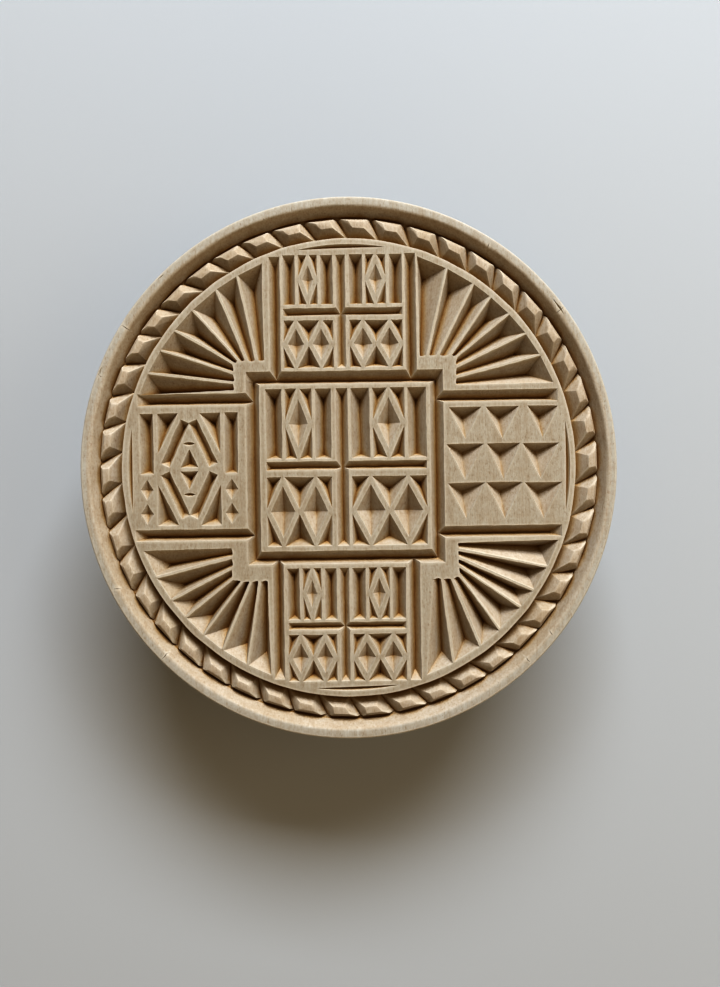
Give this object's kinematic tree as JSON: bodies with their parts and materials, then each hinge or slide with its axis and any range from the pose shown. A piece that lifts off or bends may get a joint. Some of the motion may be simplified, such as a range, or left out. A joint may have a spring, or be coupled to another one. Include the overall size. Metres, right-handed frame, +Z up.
{
  "type": "carved wooden bread stamp",
  "caption": "Round wooden bread stamp on a turned handle, its face chip carved with fans, flutes, lozenges and a rope border.",
  "frame": {"origin": "centre of the handle's flat foot, on the surface the stamp stands on", "axes": "+Z up out of the carved face; +Y along the grain of the head, towards the top of the pattern"},
  "size_m": [0.1692, 0.1708, 0.051],
  "materials": {
    "head_wood": "bare knife-cut lime wood",
    "handle_wood": "bare turned lime wood"
  },
  "bodies": {
    "root": {"carved_head": "head_wood", "turned_handle": "handle_wood"}
  },
  "joints": []
}
